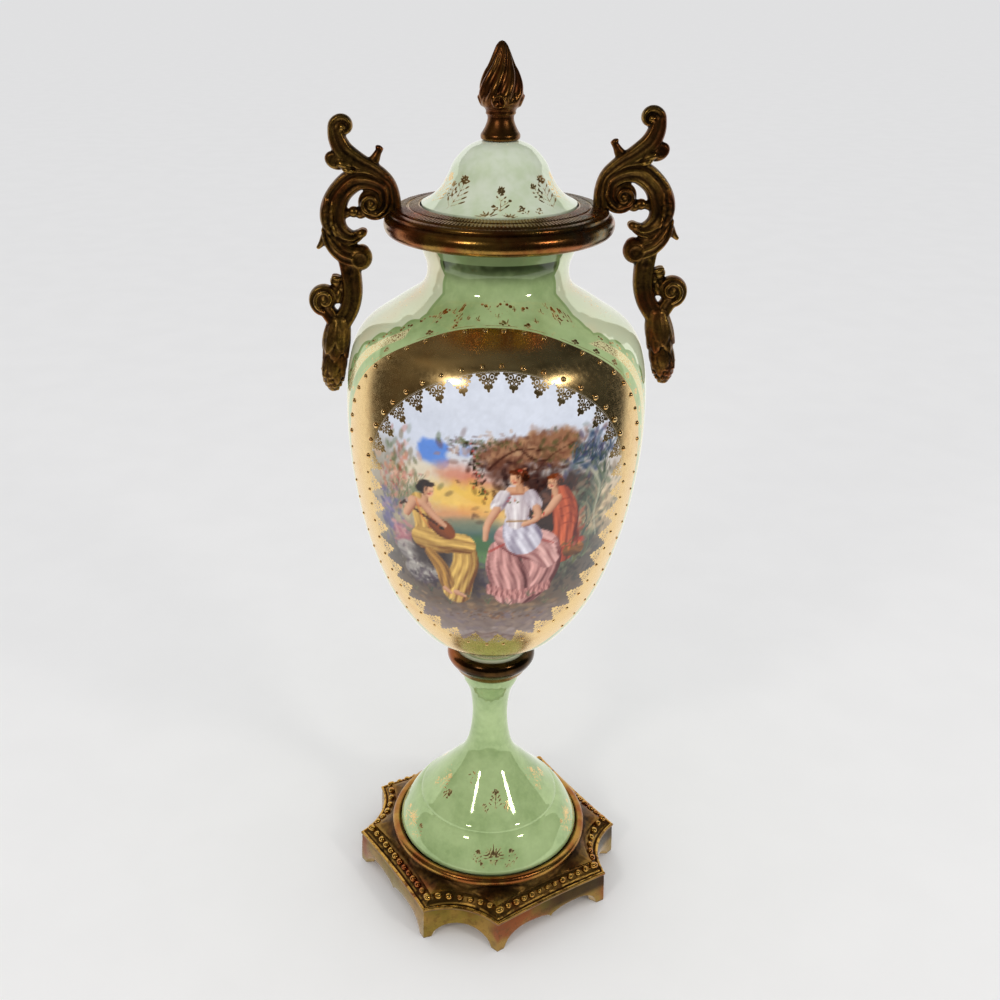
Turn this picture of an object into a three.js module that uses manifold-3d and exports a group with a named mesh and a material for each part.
// Mantel urn: a porcelain body, foot and lid held in cast and turned brass mounts.
// Millimetres, +Z up, origin on the axis at the level the eight feet stand on.
// Scroll handles lie in the XZ plane; the painted front of the body faces -Y.
import * as THREE from 'three';
import { mergeVertices } from 'three/addons/utils/BufferGeometryUtils.js';
import Module from 'manifold-3d';

const wasm = await Module();
wasm.setup();

// Driving dimensions
const HEIGHT = 400;
const SEAT_GAP = 0.3;

const BASE_HALF_FLAT = 57.9;
const BASE_HALF_CHORD = 32.05;
const BASE_TURN = THREE.MathUtils.degToRad(31.5);
const BASE_LONG_BOW = 0.9;
const BASE_CORNER_BOW = 5.6;
const BASE_WALL = 4.2;
const BASE_EDGE_Z = 18;
const BASE_RING_R = 46.8;
const BASE_RING_TOP = 28.5;
const BASE_ARCH_LONG = 9;
const BASE_PENDANT_TIP = 5;
const BASE_ARCH_CORNER = 8.3;

const FOOT_BOTTOM_Z = 26.4;
const FOOT_TOP_Z = 118.5;
const FOOT_WALL = 4;
const FOOT_HOLLOW_TOP = 70;

const COLLAR_R = 20.9;
const COLLAR_SEAT_Z = 130;

const BODY_MOUTH_Z = 327.4;
const BODY_MOUTH_R = 33.8;
const BODY_WALL = 4;

const RIM_R = 46.6;
const RIM_UNDER_Z = BODY_MOUTH_Z + SEAT_GAP;
const RIM_HOLE_R = 27.5;
const LID_R = 31.2;
const LID_SEAT_Z = 338;
const LID_TOP_Z = 363.7;
const LID_WALL = 3.2;

const FINIAL_FLUTES = 8;
const FINIAL_TWIST = 0.055;

// The handles are one casting, fixed a little out of true: both lean the same
// way, the right one stands higher and the left one lower.
const HANDLE_TILT = THREE.MathUtils.degToRad(1.3);
const HANDLE_RISE = 1.2;
const HANDLE_SHIFT = -0.8;
const HANDLE_ROOT = new THREE.Vector3(45, 0, 338);

// Materials
const brass = (color, roughness) =>
  new THREE.MeshStandardMaterial({ color, roughness, metalness: 1 });
const porcelain = (color) =>
  new THREE.MeshStandardMaterial({ color, roughness: 0.12, metalness: 0 });

// Helpers
const profile = (pairs) => pairs.map(([r, z]) => new THREE.Vector2(r, z));

const smooth = (pairs, divisions) =>
  new THREE.SplineCurve(profile(pairs)).getPoints(divisions);

function offsetInward(points, wall) {
  return points.map((point, i) => {
    const before = points[Math.max(i - 1, 0)];
    const after = points[Math.min(i + 1, points.length - 1)];
    const along = after.clone().sub(before).normalize();
    return new THREE.Vector2(point.x - along.y * wall, point.y + along.x * wall);
  });
}

function turned(points, segments) {
  return new THREE.LatheGeometry(points, segments).rotateX(Math.PI / 2);
}

function welded(geometry) {
  geometry.deleteAttribute('normal');
  geometry.deleteAttribute('uv');
  return mergeVertices(geometry, 1e-4);
}

function toSolid(geometry) {
  const clean = welded(geometry);
  return new wasm.Manifold(new wasm.Mesh({
    numProp: 3,
    vertProperties: new Float32Array(clean.attributes.position.array),
    triVerts: new Uint32Array(clean.index.array),
  }));
}

function toGeometry(solid) {
  const mesh = solid.getMesh();
  const geometry = new THREE.BufferGeometry();
  geometry.setAttribute('position', new THREE.BufferAttribute(mesh.vertProperties, 3));
  geometry.setIndex(new THREE.BufferAttribute(mesh.triVerts, 1));
  geometry.computeVertexNormals();
  return geometry;
}

const joined = (geometries) =>
  geometries.map(toSolid).reduce((sum, solid) => sum.add(solid));

// Moves every vertex of a geometry by a function of its position.
function reshaped(geometry, place) {
  const position = geometry.attributes.position;
  const point = new THREE.Vector3();
  for (let i = 0; i < position.count; i += 1) {
    place(point.fromBufferAttribute(position, i), i);
    position.setXYZ(i, point.x, point.y, point.z);
  }
  return geometry;
}

// Base: a ring of columns around the eight-pointed plan, each a section from
// the underside of the top plate, down the wall, up the face and in to the ring.
const LONG_STOPS = [-1, -0.86, -0.66, -0.28, 0, 0.28, 0.66, 0.86];
const CORNER_STOPS = [-1, -0.8, -0.5, 0, 0.5, 0.8];

function baseColumns() {
  const columns = [];
  const corner = BASE_HALF_FLAT - BASE_HALF_CHORD;
  const cornerMid = (BASE_HALF_FLAT + BASE_HALF_CHORD) / 2;
  for (let quarter = 0; quarter < 4; quarter += 1) {
    const turn = BASE_TURN + quarter * Math.PI / 2;
    for (const s of LONG_STOPS) {
      const x = BASE_HALF_FLAT - BASE_LONG_BOW * (1 - s * s);
      const t = Math.abs(s);
      const inner = BASE_PENDANT_TIP
        + (BASE_ARCH_LONG - BASE_PENDANT_TIP) * Math.sqrt(Math.max(0, 1 - ((t - 0.48) / 0.48) ** 2));
      const outer = BASE_ARCH_LONG * Math.sqrt(Math.max(0, 1 - ((t - 0.48) / 0.38) ** 2));
      const plan = new THREE.Vector2(x, s * BASE_HALF_CHORD);
      columns.push({ plan, turn, hem: t < 0.48 ? inner : outer });
    }
    for (const s of CORNER_STOPS) {
      const bow = BASE_CORNER_BOW * (1 - s * s) / Math.SQRT2;
      const plan = new THREE.Vector2(cornerMid - s * corner / 2 - bow, cornerMid + s * corner / 2 - bow);
      const hem = BASE_ARCH_CORNER * Math.sqrt(Math.max(0, 1 - (s / 0.8) ** 2));
      columns.push({ plan, turn, hem });
    }
  }
  for (const column of columns) column.plan.rotateAround(new THREE.Vector2(), column.turn);
  return columns;
}

// Rows of the base section: how far in from the edge, the level, and the least radius.
function baseRows() {
  const ring = BASE_RING_R;
  return [
    { radius: 0, z: 22.5 },
    { radius: 40, z: 22.5 },
    { inset: BASE_WALL, z: 14, least: 50 },
    { inset: BASE_WALL, hem: true, least: 50 },
    { inset: 0, hem: true },
    { inset: 0.9, z: BASE_EDGE_Z - 0.9 },
    { inset: 1.1, z: BASE_EDGE_Z },
    { inset: 2.6, z: BASE_EDGE_Z - 0.2, least: 54 },
    { inset: 5.2, z: BASE_EDGE_Z + 2.2, least: 51.4 },
    { inset: 7.4, z: BASE_EDGE_Z + 3.4, least: 50.2 },
    { radius: ring + 2.4, z: BASE_RING_TOP - 3.4 },
    { radius: ring + 1.9, z: BASE_RING_TOP - 1 },
    { radius: ring, z: BASE_RING_TOP },
    { radius: ring - 1.6, z: BASE_RING_TOP - 1 },
    { radius: ring - 1.9, z: FOOT_BOTTOM_Z - SEAT_GAP },
    { radius: 0, z: FOOT_BOTTOM_Z - SEAT_GAP },
  ];
}

function baseGeometry() {
  const columns = baseColumns();
  const rows = baseRows();
  const blank = rows.map((row, i) => {
    const onAxis = i === 0 || i === rows.length - 1;
    return new THREE.Vector2(onAxis ? 0 : 50, i);
  });
  const lathe = new THREE.LatheGeometry(blank, columns.length);
  const place = (point, index) => {
    const row = rows[index % rows.length];
    const step = Math.floor(index / rows.length) % columns.length;
    const { plan, hem } = columns[step];
    const reach = plan.length();
    const wanted = row.radius ?? Math.max(reach - row.inset, Math.min(row.least ?? 0, reach - 0.4));
    const radius = Math.min(wanted, reach);
    point.set(plan.x * radius / reach, plan.y * radius / reach, row.hem ? hem : row.z);
  };
  return toGeometry(toSolid(reshaped(lathe, place)));
}

// Foot: a hollow porcelain pedestal with a low step round its skirt.
function footGeometry() {
  const skirt = smooth([[44.6, 29.4], [42.4, 33], [38.8, 40], [35.2, 45]], 4);
  const rise = smooth(
    [[33, 46.6], [28.2, 52], [20, 61], [13.5, 69], [10.1, 78], [8.6, 92], [9.8, 105], [13.2, 113.5]], 11);
  const outer = [...skirt, ...rise];
  const lining = offsetInward(outer.filter((point) => point.y < FOOT_HOLLOW_TOP), FOOT_WALL);
  const inside = lining.filter((point, i) => i % 2 === 0).reverse();
  return turned([
    ...profile([[0, FOOT_HOLLOW_TOP]]), ...inside,
    ...profile([[40.4, FOOT_BOTTOM_Z], [44.3, FOOT_BOTTOM_Z]]), ...outer,
    ...profile([[14, FOOT_TOP_Z], [0, FOOT_TOP_Z]]),
  ], 24);
}

function collarGeometry() {
  const bottom = FOOT_TOP_Z + SEAT_GAP;
  return turned(profile([
    [0, bottom], [15.4, bottom], [17, bottom + 1.6], [17.6, bottom + 3.4], [19.6, bottom + 5.4],
    [COLLAR_R, 127], [20.4, 129.6], [18.4, 131.4], [17.3, 131.2], [17.2, COLLAR_SEAT_Z],
    [0, COLLAR_SEAT_Z],
  ]), 24);
}

function bodyGeometry() {
  const bottom = COLLAR_SEAT_Z + SEAT_GAP;
  const outer = smooth([
    [17.2, 133], [24.3, 140], [34.9, 148], [48.4, 170], [58.1, 200], [63, 230], [64.05, 256],
    [62.1, 276], [56.6, 288.6], [43.8, 298], [31.6, 306.4], [29.1, 314], [31.2, 321.4],
    [BODY_MOUTH_R, BODY_MOUTH_Z],
  ], 18);
  const lining = offsetInward(outer, BODY_WALL).filter((point, i) => i % 2 === 0 && i > 0).reverse();
  lining[0].y = BODY_MOUTH_Z;
  const floor = lining[lining.length - 1].y;
  return turned([
    ...profile([[0, bottom], [16.9, bottom]]), ...outer, ...lining,
    ...profile([[0, floor]]),
  ], 30);
}

function rimPoints(grow) {
  return profile([
    [RIM_HOLE_R, RIM_UNDER_Z - grow], [43.4, RIM_UNDER_Z - grow], [45.8 + grow, 329], [RIM_R + grow, 331.8],
    [46 + grow, 334.4], [44 + grow, 335.6 + grow], [43.8 + grow, 336.8 + grow], [41.4, 338.1 + grow],
    [31.8, 339.4 + grow], [31.8, LID_SEAT_Z + grow], [RIM_HOLE_R, LID_SEAT_Z + grow],
    [RIM_HOLE_R, RIM_UNDER_Z - grow],
  ]);
}

function lidGeometry() {
  const bottom = LID_SEAT_Z + SEAT_GAP;
  const outer = smooth([
    [LID_R, 339.9], [27.4, 342], [23.6, 345.6], [20.6, 350.6], [18, 356], [12.6, 361.4], [7, LID_TOP_Z],
  ], 9);
  const lining = offsetInward(outer, LID_WALL).filter((point, i) => i % 2 === 1).reverse();
  const crown = lining[0].y + 0.6;
  return turned([
    ...profile([[0, crown]]), ...lining, ...profile([[26.8, bottom], [LID_R, bottom]]), ...outer,
    ...profile([[0, LID_TOP_Z]]),
  ], 24);
}

// Finial: a turned bud whose upper cone carries slanting flutes.
function finialGeometry() {
  const bottom = LID_TOP_Z + SEAT_GAP;
  const section = profile([
    [0, bottom], [7.2, bottom], [7.7, 365.8], [6.6, 367.8], [5.2, 371.9], [5.6, 373.8], [7, 376.1],
    [8.5, 379], [8.9, 381.8], [8.3, 385], [6.9, 388.4], [4.9, 392], [3.3, 396.4], [1.6, 399], [0, HEIGHT],
  ]);
  const fluted = (point) => {
    const radius = Math.hypot(point.x, point.y);
    const angle = Math.atan2(point.y, point.x);
    const rise = THREE.MathUtils.smoothstep(point.z, 376, 384);
    const wave = Math.cos(FINIAL_FLUTES * (angle - FINIAL_TWIST * (point.z - 376)));
    const scaled = radius * (1 + rise * 0.09 * (wave - 1));
    point.set(scaled * Math.cos(angle), scaled * Math.sin(angle), point.z);
  };
  return reshaped(turned(section, 24), fluted);
}

// Handles. A stroke is a bent cylinder along a curve in the XZ plane; each stop
// of the stroke is [x, z, half width in the plane].
function stroke(stops, depth, sides, steps) {
  const path = new THREE.SplineCurve(profile(stops));
  const last = stops.length - 1;
  const halfWidth = (t) => {
    const i = Math.min(Math.floor(t * last), last - 1);
    return THREE.MathUtils.lerp(stops[i][2], stops[i + 1][2], t * last - i);
  };
  const bend = (point) => {
    const t = THREE.MathUtils.clamp(0.5 - point.y, 0, 1);
    const centre = path.getPoint(t);
    const along = path.getTangent(t);
    const reach = point.x * halfWidth(t);
    point.set(centre.x + along.y * reach, point.z * Math.min(depth, halfWidth(t)), centre.y - along.x * reach);
  };
  return reshaped(new THREE.CylinderGeometry(1, 1, 1, sides, steps), bend);
}

// Stops of a volute from its eye outwards, turning clockwise in the XZ plane.
function volute(x, z, startAngle, turns, radii, widths, count) {
  return Array.from({ length: count }, (unused, i) => {
    const t = i / (count - 1);
    const angle = startAngle - t * turns * 2 * Math.PI;
    const radius = THREE.MathUtils.lerp(radii[0], radii[1], t);
    const width = THREE.MathUtils.lerp(widths[0], widths[1], t);
    return [x + radius * Math.cos(angle), z + radius * Math.sin(angle), width];
  });
}

function knob(x, z, radius, depth, detail) {
  return new THREE.IcosahedronGeometry(1, detail).scale(radius, depth, radius).translate(x, 0, z);
}

function handleSolid() {
  const crest = stroke([
    ...volute(60, 370.2, -Math.PI / 2, 0.75, [1, 3.2], [1.8, 2.8], 5),
    [62.4, 365.6, 3.7], [59.9, 361, 4], [54.4, 357, 3.6], [48, 353.4, 2.9], [43.4, 349, 2.8],
    [41.4, 343.4, 2.8], [41.4, 337, 3],
  ], 3.2, 6, 13);
  const spur = stroke([[49.4, 354.6, 2.6], [47.6, 358, 2], [46.4, 361.4, 1.6]], 1.8, 5, 1);
  const scroll = stroke([
    ...volute(50.2, 340.9, 0, 0.55, [2.4, 6.2], [2.4, 3], 5),
    [45.4, 347, 3.3], [50.6, 349.8, 3.7], [57, 349.7, 4.8], [62.6, 345.2, 4.9], [65.6, 339.2, 5.5],
    [66, 333.6, 5.3], [63.4, 329.2, 4.2], [59, 327.2, 3.2], [55.4, 328.6, 2.2],
  ], 3.6, 7, 15);
  const thorn = stroke([[68, 330, 3], [71, 326.4, 2], [73.2, 323.4, 0.8]], 2.2, 5, 1);
  const leaf = stroke([
    [69, 329.4, 2.2], [66.6, 324, 3.7], [62.6, 320.4, 4.2], [58, 319.4, 4.2],
  ], 4, 6, 3);
  const stem = stroke([
    [60.8, 319, 4.6], [59.9, 311, 4.4], [60, 304, 4.3], [61.8, 297.6, 4.2], [65.4, 291.6, 4.2],
  ], 4.2, 6, 3);
  const lowerScroll = stroke([
    ...volute(71.4, 302.2, Math.PI, 0.75, [2.4, 4.6], [2.6, 3.4], 5),
    [69.4, 294.4, 3.4], [67.6, 290.4, 3.2],
  ], 4.2, 6, 8);
  const drop = stroke([
    [66.4, 293.4, 5.4], [66.9, 287.6, 6.9], [68.5, 281, 5.7], [69, 280.2, 6.1], [69.9, 275, 5.8],
    [70.3, 269, 4.7], [70.4, 268.2, 5.1], [70.6, 264.4, 4], [70.6, 261.6, 2.6],
  ], 6, 8, 8);
  return joined([
    crest, spur, scroll, thorn, leaf, stem, lowerScroll, drop,
    knob(63.4, 357.6, 4.4, 3.2, 0), knob(57.2, 337.3, 2.9, 2.4, 0),
    knob(56.6, 318.8, 5.6, 4.4, 0), knob(66.2, 309.6, 2.7, 2.6, 0), knob(64, 307, 2.4, 2.4, 0),
    knob(50.2, 340.9, 6, 3.4, 0), knob(71.6, 302.2, 3.4, 5, 0),
  ]);
}

// Sets the pattern in its place on one side of the ring and cuts it off the ring.
function fixedHandle(pattern, side, ring) {
  const toRoot = new THREE.Matrix4().makeTranslation(HANDLE_ROOT.clone().negate());
  const tilt = new THREE.Matrix4().makeRotationY(-side * HANDLE_TILT);
  const back = new THREE.Matrix4().makeTranslation(
    HANDLE_ROOT.x + side * HANDLE_SHIFT, 0, HANDLE_ROOT.z + side * HANDLE_RISE);
  const turn = new THREE.Matrix4().makeRotationZ(side > 0 ? 0 : Math.PI);
  const place = turn.multiply(back).multiply(tilt).multiply(toRoot);
  const geometry = toGeometry(pattern).applyMatrix4(place);
  return toGeometry(toSolid(geometry).subtract(ring));
}

const handlePattern = handleSolid();
const ringWithGap = toSolid(turned(rimPoints(SEAT_GAP), 32));

function piece(name, geometry, material) {
  const mesh = new THREE.Mesh(geometry, material);
  mesh.name = name;
  return mesh;
}

const urn = new THREE.Group();
urn.add(
  piece('base', baseGeometry(), brass(0x7a5628, 0.4)),
  piece('foot', footGeometry(), porcelain(0xb4c8a0)),
  piece('collar', collarGeometry(), brass(0x3c3026, 0.25)),
  piece('body', bodyGeometry(), porcelain(0xc4d2b0)),
  piece('rim_ring', turned(rimPoints(0), 32), brass(0x5a4128, 0.35)),
  piece('handle_right', fixedHandle(handlePattern, 1, ringWithGap), brass(0x4a3a22, 0.4)),
  piece('handle_left', fixedHandle(handlePattern, -1, ringWithGap), brass(0x4a3a22, 0.4)),
  piece('lid', lidGeometry(), porcelain(0xcddec8)),
  piece('finial', finialGeometry(), brass(0x6a3c26, 0.35)),
);
export default urn;
